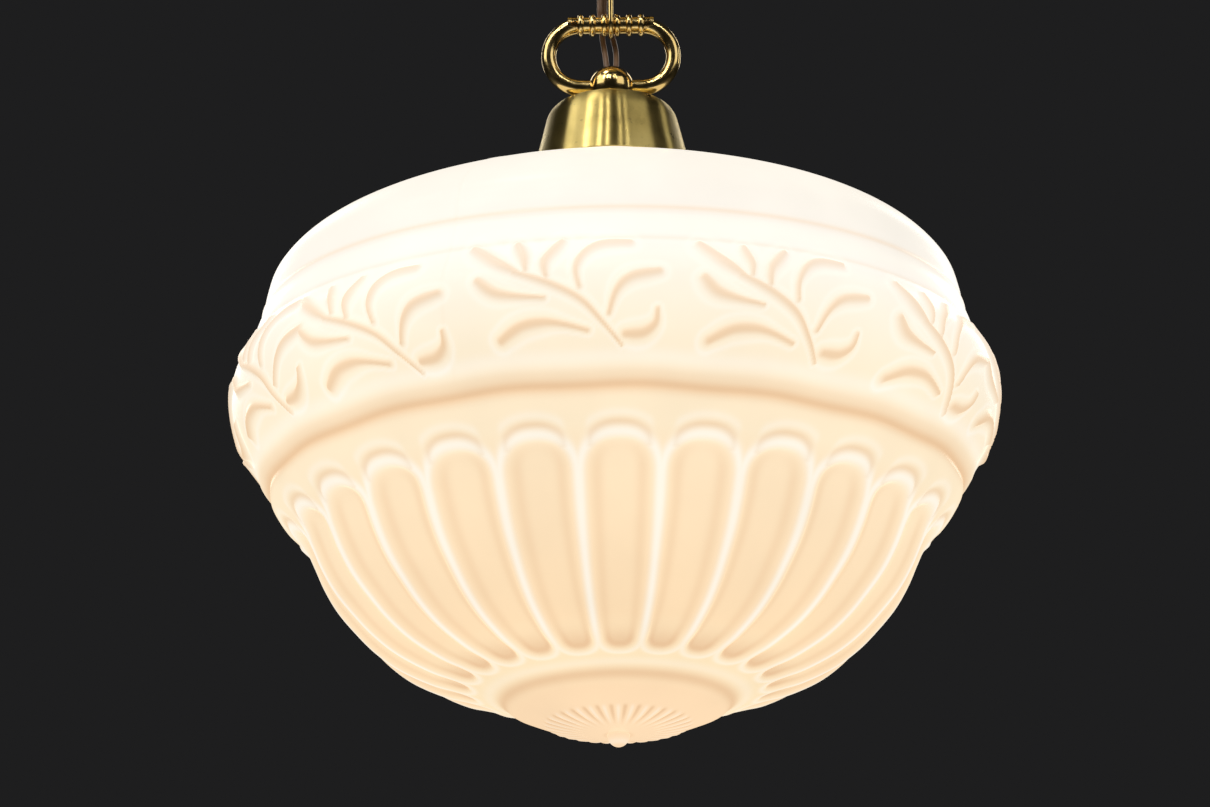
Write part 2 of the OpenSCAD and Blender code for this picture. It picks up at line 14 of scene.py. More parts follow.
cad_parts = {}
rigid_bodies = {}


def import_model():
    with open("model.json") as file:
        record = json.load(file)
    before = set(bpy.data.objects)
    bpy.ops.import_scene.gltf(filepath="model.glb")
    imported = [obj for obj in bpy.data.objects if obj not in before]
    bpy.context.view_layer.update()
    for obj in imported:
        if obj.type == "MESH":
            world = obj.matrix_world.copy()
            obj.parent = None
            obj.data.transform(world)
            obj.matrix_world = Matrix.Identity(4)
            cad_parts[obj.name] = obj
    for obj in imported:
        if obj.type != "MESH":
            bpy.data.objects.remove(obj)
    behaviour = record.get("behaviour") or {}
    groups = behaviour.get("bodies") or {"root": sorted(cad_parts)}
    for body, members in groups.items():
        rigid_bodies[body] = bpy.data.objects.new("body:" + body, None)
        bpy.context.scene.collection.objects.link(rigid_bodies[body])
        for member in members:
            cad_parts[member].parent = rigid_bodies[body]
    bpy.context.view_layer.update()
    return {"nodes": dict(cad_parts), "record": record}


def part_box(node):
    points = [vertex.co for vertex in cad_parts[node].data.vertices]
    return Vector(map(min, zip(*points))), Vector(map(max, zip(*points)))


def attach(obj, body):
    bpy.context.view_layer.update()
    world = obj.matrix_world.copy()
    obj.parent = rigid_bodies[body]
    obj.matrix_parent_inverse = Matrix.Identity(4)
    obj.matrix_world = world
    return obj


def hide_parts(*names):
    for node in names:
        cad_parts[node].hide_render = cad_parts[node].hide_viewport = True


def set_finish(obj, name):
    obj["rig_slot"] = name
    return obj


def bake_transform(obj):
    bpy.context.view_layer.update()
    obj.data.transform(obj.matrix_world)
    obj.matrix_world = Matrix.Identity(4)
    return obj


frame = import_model()

MM = 0.001
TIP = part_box("glass_shade")[0].z
NODES = frame["nodes"]


# ---- Camera -------------------------------------------------------------------------------

VIEW_BELOW = math.radians(17.5)  # the camera looks up at the lamp by this much
VIEW_DISTANCE = 3.2
VIEW_ASIDE = -0.0045  # the lamp hangs a little right of the middle of the frame
VIEW_ROLL = math.radians(-0.6)
AIM_HEIGHT = 0.160  # above the tip
FIELD = 0.55  # what the frame's long side takes in at the lamp


def make_camera():
    data = bpy.data.cameras.new("camera")
    data.sensor_width = 36.0
    data.lens = data.sensor_width * VIEW_DISTANCE / FIELD
    data.clip_end = 60.0
    camera = bpy.data.objects.new("camera", data)
    bpy.context.scene.collection.objects.link(camera)
    back = Vector((0, -math.cos(VIEW_BELOW), -math.sin(VIEW_BELOW)))
    camera.location = Vector((VIEW_ASIDE, 0, TIP + AIM_HEIGHT)) + back * VIEW_DISTANCE
    camera.rotation_mode = "QUATERNION"
    level = (-back).to_track_quat("-Z", "Y")
    camera.rotation_quaternion = level @ Quaternion((0, 0, 1), VIEW_ROLL)
    bpy.context.scene.camera = camera


make_camera()


# ---- Mesh helpers -------------------------------------------------------------------------


def link_mesh(name, verts, faces, smooth_angle=40.0):
    """A new mesh object, smooth except where faces meet at more than smooth_angle degrees."""
    mesh = bpy.data.meshes.new(name)
    mesh.from_pydata([tuple(v) for v in verts], [], [tuple(f) for f in faces])
    mesh.validate()
    mesh.polygons.foreach_set("use_smooth", [True] * len(mesh.polygons))
    mesh.set_sharp_from_angle(angle=math.radians(smooth_angle))
    mesh.update()
    obj = bpy.data.objects.new(name, mesh)
    bpy.context.scene.collection.objects.link(obj)
    return obj


def catmull_rom(points, steps):
    """Points along a smooth curve through the given ones, steps to each span."""
    p = np.asarray(points, float)
    padded = np.vstack([p[:1], p, p[-1:]])
    found = []
    for a, b, c, d in zip(padded, padded[1:], padded[2:], padded[3:]):
        for t in np.arange(steps) / steps:
            found.append(
                0.5 * (2 * b + (c - a) * t + (2 * a - 5 * b + 4 * c - d) * t**2
                       + (3 * b - a - 3 * c + d) * t**3))
    found.append(p[-1])
    return np.array(found)


def grid_faces(rows, columns, wrap_rows=False):
    """Quads of a grid whose columns close round, and whose rows close too if wrap_rows."""
    bands = rows if wrap_rows else rows - 1
    i, j = np.meshgrid(np.arange(bands), np.arange(columns), indexing="ij")
    a, b = i * columns + j, i * columns + (j + 1) % columns
    c, d = (i + 1) % rows * columns + (j + 1) % columns, (i + 1) % rows * columns + j
    return np.stack([a, b, c, d], axis=-1).reshape(-1, 4)


def lathe(name, outline, columns=160, smooth_angle=40.0, wobble=None):
    """A closed ring turned about the Z axis from a closed outline of [radius, z], in metres."""
    outline = np.asarray(outline, float)
    angle = np.arange(columns) / columns * math.tau
    radius = np.repeat(outline[:, :1], columns, 1)
    height = np.repeat(outline[:, 1:], columns, 1)
    if wobble is not None:
        radius, height = wobble(radius, height, angle[None, :])
    verts = np.stack([radius * np.cos(angle), radius * np.sin(angle), height], -1).reshape(-1, 3)
    return link_mesh(name, verts, grid_faces(len(outline), columns, wrap_rows=True), smooth_angle)


def sweep(name, path, radius, sides=12):
    """A tube with closed ends along a path; radius is one number or one for each point."""
    path = np.asarray(path, float)
    count = len(path)
    radii = np.broadcast_to(np.asarray(radius, float), (count,))
    heading = np.gradient(path, axis=0)
    heading /= np.linalg.norm(heading, axis=1)[:, None]
    side = np.cross(heading[0], [0.0, 1.0, 0.0])
    if np.linalg.norm(side) < 1e-6:
        side = np.cross(heading[0], [1.0, 0.0, 0.0])
    verts = []
    for p, h, r in zip(path, heading, radii):
        side = side - h * (side @ h)
        side /= np.linalg.norm(side)
        up = np.cross(h, side)
        for k in range(sides):
            a = math.tau * k / sides
            verts.append(p + r * (math.cos(a) * side + math.sin(a) * up))
    faces = [list(f) for f in grid_faces(count, sides)]
    faces.append(list(range(sides))[::-1])
    faces.append([(count - 1) * sides + k for k in range(sides)])
    return link_mesh(name, verts, faces, 50.0)


def stand_for(obj, body, slot, *nodes):
    """obj rides on body, in place of these CAD nodes, with the finish of that slot."""
    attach(obj, body)
    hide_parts(*nodes)
    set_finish(obj, slot)


# ---- Wires --------------------------------------------------------------------------------

WIRE = 2.6 * MM

# The routes' points, as in the CAD, from the lampholder up to the terminal block, in millimetres
ROUTES = {
    "wire_a_lamp": [
        (-6.1, 0, -239), (-3.6, 0, -235), (-2, 0, -229), (-1.6, 0, -222), (-1.6, 0, -214),
        (-1.6, 0, -206), (-1.6, 0, -198), (-1.7, 0, -190), (-1.9, 0.2, -183), (-2.1, 1.4, -177),
        (-2.6, 3.6, -171), (-3.4, 5.8, -165), (-4.2, 6.9, -158), (-4.8, 6.2, -152), (-5, 5.4, -148),
        (-5, 5.4, -145.1)],
    "wire_a_lower": [
        (-5, 5.4, -145), (-5, 5.4, -142), (-5.1, 5, -136), (-5.2, 4.8, -129), (-5.1, 4.8, -122),
        (-5, 5, -116), (-5, 5, -113.1)],
    "wire_a_upper": [
        (-5, 5, -113), (-5, 5, -110), (-4.9, 5.2, -104), (-4.9, 5.2, -97), (-5, 5, -91),
        (-5.1, 4.8, -85), (-5.1, 4.8, -82.1)],
    "wire_a_ceiling": [
        (-5.1, 4.8, -82), (-5.1, 4.8, -79), (-5.2, 4.8, -73), (-4.9, 4.3, -67), (-3.4, 1.5, -60),
        (-1.2, -1.1, -53), (-0.2, -1.7, -46), (0, -1.7, -38), (0, -1.7, -30), (0, -1.7, -24),
        (0.9, -1.8, -19), (3.9, -2, -14.8), (8.6, -2.9, -12.4), (12.6, -3.7, -12), (16.3, -4, -12)],
    "wire_b_lamp": [
        (6.1, 0, -239), (3.6, 0, -235), (2, 0, -229), (1.6, 0, -222), (1.6, 0, -214), (1.6, 0, -206),
        (1.6, 0, -198), (1.8, 0, -190), (2, 0.3, -183), (2.2, 1.8, -177), (2.4, 4.6, -171),
        (1.9, 7.4, -165), (0.6, 9.3, -159), (-1.1, 9.6, -154), (-2.6, 8.6, -149.5),
        (-2.9, 8.2, -147.5), (-2.9, 8.2, -145.1)],
    "wire_b_lower": [
        (-2.9, 8.2, -145), (-2.9, 8.2, -142), (-3, 7.6, -136), (-3.1, 7.2, -129), (-3, 7.2, -122),
        (-2.9, 7.4, -116), (-2.9, 7.4, -113.1)],
    "wire_b_upper": [
        (-2.9, 7.4, -113), (-2.9, 7.4, -110), (-2.8, 7.6, -104), (-2.9, 7.6, -97), (-3, 7.3, -91),
        (-3.1, 7, -85), (-3.1, 7, -82.1)],
    "wire_b_ceiling": [
        (-3.1, 7, -82), (-3.1, 7, -79), (-3.3, 6.8, -73), (-3.1, 6.4, -67), (-1.6, 4.2, -60),
        (-0.4, 2.1, -53), (0, 1.7, -46), (0, 1.7, -38), (0, 1.7, -30), (0, 1.7, -24), (0.9, 1.8, -19),
        (3.9, 2, -14.8), (8.6, 2.9, -12.4), (12.6, 3.7, -12), (16.3, 4, -12)],
}


def make_wires():
    for name, route in ROUTES.items():
        path = catmull_rom(np.array(route) * MM, 4)
        wire = sweep(name + "_cover", path, WIRE / 2, sides=16)
        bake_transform(wire)
        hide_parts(name)
        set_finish(wire, "wire_brown")


make_wires()


# ---- Glass shade --------------------------------------------------------------------------

# The shade's outline, as in the CAD: radius and height above the tip, in millimetres
OUTLINE = [
    (0, 3.9), (7, 4.2), (14, 5.1), (20, 6.4), (27, 8), (33, 9.7), (36, 11.1), (39, 12.4),
    (45, 15), (50, 17.4), (52.5, 20), (56, 22.6), (65, 25.2), (75, 28.4), (85, 31.8), (99, 39),
    (110, 47.5), (119, 57), (127, 67), (133, 77.5), (137.5, 88), (140.5, 94.5), (146, 101),
    (152, 107.5), (156.5, 115), (159.5, 121.5), (165, 130), (171, 140), (174, 151), (175, 162),
    (173.5, 171), (168.5, 179.5), (163, 190), (159.5, 199), (158, 207), (154.5, 217),
    (145.5, 227), (132, 235.5), (113, 243.5), (88, 252.5), (64, 261), (48, 266.7), (37, 270.5)]
BUTTON_R = 5.0  # round button at the tip of the glass
BUTTON_DROP = 5.2
WALL = 4.0
NECK_TOP = 274.0
NECK_R = 30.0
FLUTES = 24
PETALS = 32
FLUTE_TURN = 0.7  # degrees that the front flute stands off the middle
FLUTE_SHARE = 0.8  # how much of the pitch a flute takes up, the rest being rib
FLUTE_ARCH, FLUTE_TOE = 16.0, 9.0  # lengths of a flute's arched top and round end
FLUTE_SQUARE = 2.3  # 2 for round ends, more for squarer ones
COLUMNS = 1080
ROW_STEP = 1.1  # along the outline, in millimetres

# One leaf sprig: strokes of [degrees round, height above the tip] from the stem outwards, and
# their half-width in millimetres
SPRIG = [
    ([(8, 133), (5.2, 142.5), (2.2, 152.3), (-2.2, 160), (-7.5, 166.5)], 1.5),
    ([(-6.6, 165.5), (-9.6, 171.5), (-14.2, 181.5)], 2.6),
    ([(-3.2, 153.8), (-7.5, 155.6), (-10.6, 158.3), (-12.8, 164)], 2.3),
    ([(3, 139), (-0.8, 142.2), (-3.6, 143.3), (-6.8, 142), (-9.8, 137)], 2.4),
    ([(-5.8, 167.5), (-6.2, 174), (-7.4, 181.5)], 2.3),
    ([(-2.8, 163.5), (-3, 172), (-0.8, 181.5)], 2.4),
    ([(2, 158), (1.5, 167), (2.8, 175.5), (5.4, 180), (9.4, 180.5)], 2.2),
    ([(6.2, 146), (7.3, 156), (9.4, 162.3), (13.4, 165)], 2.2),
    ([(13.2, 148), (12.9, 142), (11.2, 138), (8.6, 137.4)], 2.2),
]
# Where each sprig stands: degrees from the front, degrees that its top leans over, and its lift
# in millimetres. The front ones are listed one by one, and the rest stand evenly round the back.
FRONT_SPRIGS = [(-38.5, -1.5, -3.3), (-7, 0, 0.5), (23.5, 3.7, -0.6), (54.5, 7, -4)]
BACK_SPRIGS = [(54.5 + 29.7 * k, 3, -2) for k in range(1, 9)]
SPRIG_FOOT, SPRIG_TOP = 133, 183
SPRIG_REACH = 22  # degrees to either side that a sprig may reach


def smoothstep(low, high, x):
    t = np.clip((x - low) / (high - low), 0, 1)
    return t * t * (3 - 2 * t)


def bump(x, width):
    return np.exp(-((x / width) ** 2))


def shade_rows():
    """Radius, height, outward normal and distance along the outline of each row, in millimetres."""
    fine = catmull_rom(OUTLINE, 24)
    fine[:, 0] = np.maximum(fine[:, 0], 0)
    along = np.concatenate([[0], np.cumsum(np.linalg.norm(np.diff(fine, axis=0), axis=1))])
    count = int(along[-1] / ROW_STEP)
    edge = BUTTON_R + 2.0
    s = np.concatenate([np.linspace(0.3, edge, 36)[:-1], np.linspace(edge, along[-1], count)])
    rows = np.stack([np.interp(s, along, fine[:, k]) for k in (0, 1)], -1)
    run = np.gradient(rows, s, axis=0)
    run /= np.linalg.norm(run, axis=1)[:, None]
    return rows, np.stack([run[:, 1], -run[:, 0]], -1), s


def sprig_field(turn, height, girth):
    """How far each point is inside the sprigs' strokes: 1 on a stroke's line, 0 at its edge."""
    field = np.full(np.broadcast(turn, height).shape, -9.0)
    from_front = (turn - 270 + 180) % 360 - 180
    for place, lean, lift in FRONT_SPRIGS + BACK_SPRIGS:
        near = np.abs((from_front - place + 180) % 360 - 180)[0] < SPRIG_REACH
        level = height - lift
        tilt = lean * (level - SPRIG_FOOT) / (SPRIG_TOP - SPRIG_FOOT)
        local = ((from_front[:, near] - place + 180) % 360 - 180 - tilt) * girth
        best = field[:, near]
        for points, half in SPRIG:
            line = catmull_rom(points, 5)
            x, y = line[:, 0] * girth, line[:, 1]
            spans = len(x) - 1
            for k in range(spans):
                dx, dy = x[k + 1] - x[k], y[k + 1] - y[k]
                t = np.clip(((local - x[k]) * dx + (level - y[k]) * dy) / (dx * dx + dy * dy), 0, 1)
                gap = np.hypot(local - x[k] - t * dx, level - y[k] - t * dy)
                u = (k + t) / spans
                plump = 0.5 + 0.62 * smoothstep(0, 0.7, u) - 0.2 * smoothstep(0.8, 1, u)
                best = np.maximum(best, 1 - gap / (half * plump))
        field[:, near] = best
    return field


def flute_shape(turn, s, radius, s_low, s_high):
    """Each flute's level, below 1 inside it; the distance inside it; how much it faces up; and the
    share of the way across it."""
    pitch = 360 / FLUTES
    off_middle = (turn - FLUTE_TURN + pitch / 2) % pitch - pitch / 2
    half = FLUTE_SHARE * math.pi / FLUTES * radius
    share = np.abs(off_middle * math.pi / 180 * radius) / half
    up = np.clip((s - (s_high - FLUTE_ARCH)) / FLUTE_ARCH, 0, 3)
    down = np.clip((s_low + FLUTE_TOE - s) / FLUTE_TOE, 0, 3)
    end, reach = np.maximum(up, down), np.where(up > down, FLUTE_ARCH, FLUTE_TOE)
    power = FLUTE_SQUARE
    level = (share**power + end**power) ** (1 / power) + 1e-6
    steepness = np.hypot(share ** (power - 1) / half, end ** (power - 1) / reach)
    slope = level ** (1 - power) * steepness
    inside = (1 - level) / np.maximum(slope, 1e-3)
    return level, inside, (up / level) ** power, share


# Colour of the lit glass by height above the tip, as screen colours out of 255
GLOW = [
    (0, (252, 220, 182)), (15, (251, 219, 180)), (24, (252, 229, 190)), (34, (252, 222, 182)),
    (95, (253, 229, 194)), (104, (253, 234, 202)), (122, (253, 233, 201)), (136, (253, 238, 211)),
    (160, (250, 240, 222)), (183, (248, 242, 233)), (225, (244, 238, 227)), (274, (242, 236, 224))]


def to_linear(colour):
    c = np.asarray(colour, float) / 255
    return np.where(c <= 0.04045, c / 12.92, ((c + 0.055) / 1.055) ** 2.4)


def shade_fields(rows, s):
    """Relief outwards, in millimetres, and lit colour of every point of the outer surface."""
    radius, height = rows[:, :1], rows[:, 1:]
    turn = (np.arange(COLUMNS) / COLUMNS * 360)[None, :]
    s = s[:, None]

    def s_at(h):
        return float(np.interp(h, rows[:, 1], s[:, 0]))

    relief = np.zeros((len(rows), COLUMNS))
    deep = np.zeros_like(relief)  # painted shade: pulls the lit glow towards peach where the glass is thick
    pale = np.zeros_like(relief)  # painted light: pulls the lit glow towards cream where the glass is thin

    # Flutes: scooped panels with arched tops and round toes, parted by narrow ribs, with painted
    # light on the ribs and painted shade along the flutes' sides and towards their toes
    s_toe, s_arch = s_at(25.5), s_at(99.5)
    level, inside, upward, share = flute_shape(turn - 270, s, radius, s_toe, s_arch)
    zone = smoothstep(s_toe - 5, s_toe + 1, s) * (1 - smoothstep(s_arch + 4, s_arch + 8, s))
    scoop = np.clip(1 - level**2, 0, 1) ** 0.7
    relief -= zone * (1.2 + 0.016 * radius) * scoop
    half_pitch = math.pi / FLUTES * radius
    rim_at = np.minimum(3.0, (1 - FLUTE_SHARE) * half_pitch)
    rim_zone = smoothstep(s_toe - 7, s_toe - 2, s) * (1 - smoothstep(s_arch + 5, s_arch + 9, s))
    rim = rim_zone * bump(inside + rim_at, (1.0 + 0.009 * radius) * (1 + 0.35 * upward))
    relief += (0.4 + 0.4 * upward) * rim
    toe = 1 - smoothstep(s_toe, s_toe + 26, s)
    pale += rim * (1 - 0.45 * toe)
    half = half_pitch * FLUTE_SHARE
    deep += zone * (inside > 0) * (1 - 0.8 * upward) * 0.34 * bump(inside - 0.3 * half, 0.2 * half)
    deep += zone * 0.95 * toe**1.5 * smoothstep(-0.5, 3.5, inside)

    # A shallow hollow like an eyebrow over each arch, with painted shade in it and painted light
    # just outside it
    brow_inside = flute_shape(turn - 270, s, radius, s_toe, s_arch + 6.8)[1]
    brow = (1 - smoothstep(0.82, 1.06, share)) * (s > s_arch - 4)
    relief -= 0.8 * brow * bump(brow_inside, 2.2)
    deep += 0.58 * brow * bump(brow_inside, 2.2)
    pale += 0.4 * brow * bump(brow_inside + 5.0, 2.0)

    # Smooth ring and the step round the centre disc, with painted shade in the step and painted
    # light on the ring
    s_step = s_at(18.6)
    relief += 0.6 * bump(s - s_step - 7, 4) - 0.5 * bump(s - s_step, 2)
    deep += 0.85 * bump(s - s_step - 0.4, 3.0)
    pale += 0.3 * bump(s - s_step - 8, 3)

    # Centre disc: short petals that fade towards a small round finial; painted shade between the
    # petals, painted light on them, painted shade round the finial and a painted highlight on it
    wave = np.cos(np.radians((turn - 270) * PETALS))
    fade = smoothstep(13, 27, s) * (1 - smoothstep(32, 35, s))
    relief += 0.7 * fade * (0.5 * wave + 0.5) ** 0.8
    deep += 1.0 * fade * np.clip(-wave, 0, 1) ** 1.3
    pale += 0.4 * fade * np.clip(wave, 0, 1) ** 2
    relief += BUTTON_DROP * np.clip(1 - (s / BUTTON_R) ** 2, 0, 1) ** 0.55
    deep += 0.4 * bump(s - BUTTON_R - 0.9, 1.0)
    pale += 0.4 * bump(s - 3.6, 1.0)

    # Dark line under the rolled edge, not quite level: a groove with a painted shadow along it, and
    # painted light on the roll above it
    sway = 0.7 * np.sin(np.radians(turn * 3 + 40)) + 0.4 * np.sin(np.radians(turn * 17 + 110))
    line = s - s_at(118) - sway
    relief -= 1.5 * bump(line - 0.3, 2.2)
    deep += 0.95 * bump(line - 0.3, 3.2)
    relief += 0.9 * bump(line - 8, 3.6)
    deep += 0.22 * bump(line - 5.6, 2.6)
    pale += 0.5 * bump(line - 12.5, 4)

    # Leaf sprigs standing out of the band, darkened by painted shade, with a halo of painted light
    # round each
    near = (height[:, 0] > 122) & (height[:, 0] < 190)
    field = np.full_like(relief, -9.0)
    field[near] = sprig_field(turn, height[near], math.pi / 180 * 170)
    relief += 1.6 * smoothstep(-0.5, 0.8, field)
    deep += (0.78 - 0.18 * smoothstep(140, 182, height)) * smoothstep(-0.6, 0.85, field)
    pale += 0.5 * bump(field + 1.4, 0.5)
    relief -= 1.2 * smoothstep(118, 128, height) * (1 - smoothstep(182, 192, height))

    # Edge of the leaf band, and the thin ridge above it, each with a line of painted shade, and
    # painted light between them
    relief -= 0.4 * bump(s - s_at(184.5), 1.4)
    deep += 0.3 * bump(s - s_at(184.5), 1.2)
    relief += 0.7 * bump(s - s_at(198.5), 1.4)
    deep += 0.6 * bump(s - s_at(198.5) - 1.0, 1.6)
    pale += 0.5 * bump(s - s_at(191), 6)

    # Seams of the three-part mould, each with a faint line of painted shade
    for k in range(3):
        seam = ((turn - (270 - 25.5 + 120 * k) + 180) % 360 - 180) * math.pi / 180 * radius
        above = smoothstep(s_at(122), s_at(128), s) * (1 - smoothstep(s_at(236), s_at(250), s))
        relief += 0.22 * above * bump(seam, 0.9)
        deep += 0.07 * above * bump(seam, 1.0)

    # Unevenness of pressed glass
    a = np.radians(turn)
    uneven = np.sin(2 * a + 1.1) + 0.6 * np.sin(3 * a + height / 45)
    uneven += 0.5 * np.sin(5 * a - height / 30)
    relief += 0.16 * uneven * smoothstep(20, 60, radius)

    heights = [h for h, _ in GLOW]
    linear = np.array([to_linear(c) for _, c in GLOW])
    base = np.stack([np.interp(height[:, 0], heights, linear[:, k]) for k in range(3)], -1)
    colour = np.repeat(base[:, None, :], COLUMNS, 1)
    # The painted shade pulls towards peach, the painted light towards cream
    peach, cream = to_linear((233, 196, 156)), to_linear((255, 250, 238))
    down = np.clip(deep, 0, 1)[..., None]
    upward = np.clip(pale * (1 - 0.7 * np.clip(deep, 0, 1)), 0, 1)[..., None]
    # Higher glass is thinner, so the painted shade on its thick parts is weaker
    calm = (1 - 0.45 * smoothstep(120, 230, height))[..., None]
    colour = colour * (1 - down * calm) + peach * down * calm
    colour = colour * (1 - 0.8 * upward) + cream * 0.8 * upward
    return relief, colour


def make_shade():
    rows, normal, s = shade_rows()
    relief, colour = shade_fields(rows, s)
    angle = np.arange(COLUMNS) / COLUMNS * math.tau
    outer_r = rows[:, :1] + relief * normal[:, :1]
    outer_h = rows[:, 1:] + relief * normal[:, 1:]
    lip = np.array([
        (NECK_R + 4.1, 271.1), (NECK_R + 3.4, 271.9), (NECK_R + 3.3, 273.3),
        (NECK_R + 2.8, NECK_TOP), (NECK_R + 0.4, NECK_TOP), (NECK_R, 273.5), (NECK_R, 269),
        (NECK_R + 0.6, 267.2), (NECK_R + 2.6, 266.6)])
    inner = (rows - normal * WALL)[::-6]
    inner = inner[(inner[:, 0] > 0.8) & (inner[:, 1] < lip[-1, 1] - 0.2)]
    turned = np.vstack([lip, inner])
    all_r = np.vstack([outer_r, np.repeat(turned[:, :1], COLUMNS, 1)])
    all_h = np.vstack([outer_h, np.repeat(turned[:, 1:], COLUMNS, 1)])
    verts = np.stack([all_r * np.cos(angle), all_r * np.sin(angle), all_h], -1).reshape(-1, 3)
    tip, well = len(verts), len(verts) + 1
    verts = np.vstack([verts, [[0, 0, outer_h[0].mean()], [0, 0, OUTLINE[0][1] + WALL]]]) * MM
    verts[:, 2] += TIP
    ring = np.arange(COLUMNS)
    faces = [tuple(f) for f in grid_faces(len(all_r), COLUMNS)]
    last = (len(all_r) - 1) * COLUMNS
    faces += [(tip, (k + 1) % COLUMNS, k) for k in ring]
    faces += [(well, last + k, last + (k + 1) % COLUMNS) for k in ring]
    shade = link_mesh("glass_bowl", verts, faces, 75.0)
    inner_colour = np.broadcast_to(to_linear((255, 248, 236)), (len(turned), COLUMNS, 3))
    both = np.vstack([colour, inner_colour]).reshape(-1, 3)
    both = np.vstack([both, colour[0].mean(0)[None], inner_colour[0, :1]])
    rgba = np.hstack([both, np.ones((len(both), 1))]).astype(np.float32)
    layer = shade.data.color_attributes.new("glow", "FLOAT_COLOR", "POINT")
    layer.data.foreach_set("color", rgba.ravel())
    stand_for(shade, "shade", "opal_glass", "glass_shade")


make_shade()


# ---- Brass pieces -------------------------------------------------------------------------

SHEET = 1.1 * MM


def arc(centre, radius, start, end, steps):
    """Points of an arc in the outline's plane, from one angle to another, in degrees."""
    turns = np.radians(np.linspace(start, end, steps))
    return [(centre[0] + radius * math.cos(a), centre[1] + radius * math.sin(a)) for a in turns]


def make_cap():
    """Spun cap over the neck: a flat top, a round shoulder and a flared side."""
    low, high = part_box("shade_cap")
    top, rim, rim_r = high.z, low.z, high.x
    bend, shoulder, lean = 12 * MM, 18.6 * MM, 14.0
    hole = 5.1 * MM
    outer = [(hole, top), (hole + 4 * MM, top)]
    outer += arc((shoulder, top - bend), bend, 90, lean, 24)
    outer += [tuple(p) for p in np.linspace(outer[-1], (rim_r - 0.05 * MM, rim + 0.3 * MM), 16)[1:]]
    edge = [(rim_r - 0.2 * MM, rim), (rim_r - SHEET + 0.2 * MM, rim),
            (rim_r - SHEET, rim + 0.3 * MM)]
    inner = arc((shoulder, top - bend), bend - SHEET, lean, 90, 14)
    inner += [(hole + 4 * MM, top - SHEET), (hole, top - SHEET)]

    def hand_spun(radius, height, angle):
        near = smoothstep(top - 4 * MM, top - 14 * MM, height)
        waves = 0.10 * np.sin(3 * angle + 0.4) + 0.07 * np.sin(5 * angle + height / (9 * MM))
        return radius + waves * MM * near * 0.8, height

    cap = lathe("brass_cap", outer + edge + inner, 224, 35.0, hand_spun)
    stand_for(cap, "lamp_head", "satin_brass", "shade_cap")


def make_canopy():
    """Spun canopy: an upright rim with a small bead, then a deep curve to the collar's seat."""
    low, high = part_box("canopy")
    rim_r, deep = high.x, low.z
    seat_r, hole = 19 * MM, 13.2 * MM
    belly = rim_r - 4 * MM

    def bowl(r_in, z_in, steps):
        turns = np.radians(np.linspace(0, 90, steps))
        return [(belly - r_in - (belly - seat_r) * (1 - math.cos(a)),
                 -7 * MM + (deep + z_in + 7 * MM) * math.sin(a)) for a in turns]

    outer = [(rim_r - 0.3 * MM, 0), (rim_r, -0.4 * MM), (rim_r, -3.2 * MM)]
    outer += arc((rim_r - 0.9 * MM, -3.4 * MM), 0.9 * MM, 0, -80, 6)
    outer += [(rim_r - 2.2 * MM, -4.7 * MM), (rim_r - 3.2 * MM, -5.4 * MM)]
    outer += bowl(0, 0, 40) + [(hole, deep)]
    inner = [(hole, deep + SHEET)] + bowl(SHEET, SHEET, 30)[::-1]
    inner += [(rim_r - 3.4 * MM, -4.6 * MM), (rim_r - SHEET, -3 * MM), (rim_r - SHEET, 0)]
    canopy = lathe("canopy_shell", outer + inner, 224, 35.0)
    stand_for(canopy, "canopy_cover", "satin_brass", "canopy")


def make_loop():
    """Cast oval loop, thinner at its round ends, with beads turned on the upper bar."""
    low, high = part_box("hanging_loop")
    rod = 3.9 * MM
    half_w = (high.x - low.x) / 2 - rod
    bar_z = high.z - 5.4 * MM
    foot_z = low.z + rod
    bend = (bar_z - foot_z) / 2
    straight = half_w - bend
    in_ball = 5.3 * MM
    path, radii = [], []

    def add(x, z, r):
        path.append((x, 0.0, z))
        radii.append(r)

    for x in np.linspace(-in_ball, -straight, 6)[:-1]:
        add(x, foot_z, rod)
    for a in np.radians(np.linspace(270, 90, 40)):
        slim = 0.52 * MM * max(0.0, -math.cos(a)) ** 1.5
        add(-straight + bend * math.cos(a), (bar_z + foot_z) / 2 + bend * math.sin(a), rod - slim)
    step, middle_gap, core, crown, bead_half = 5.5 * MM, 5.9 * MM, 4.1 * MM, 5.4 * MM, 1.4 * MM
    for x in np.linspace(-straight, -3.6 * step, 5):
        add(x, bar_z, core)
    for k in range(6):
        bead = (k - 2.5) * step + math.copysign((middle_gap - step) / 2, k - 2.5)
        for a in np.linspace(0, math.pi, 15):
            add(bead - bead_half * math.cos(a), bar_z, core + (crown - core) * math.sin(a))
    for x in np.linspace(3.6 * step, straight, 5):
        add(x, bar_z, core)
    for a in np.radians(np.linspace(90, -90, 40)):
        slim = 0.52 * MM * max(0.0, math.cos(a)) ** 1.5
        add(straight + bend * math.cos(a), (bar_z + foot_z) / 2 + bend * math.sin(a), rod - slim)
    for x in np.linspace(straight, in_ball, 6)[1:]:
        add(x, foot_z, rod)
    loop = sweep("beaded_loop", path, radii, sides=40)
    stand_for(loop, "lamp_head", "polished_brass", "hanging_loop")


make_cap()
make_canopy()
make_loop()


# ---- Materials ----------------------------------------------------------------------------


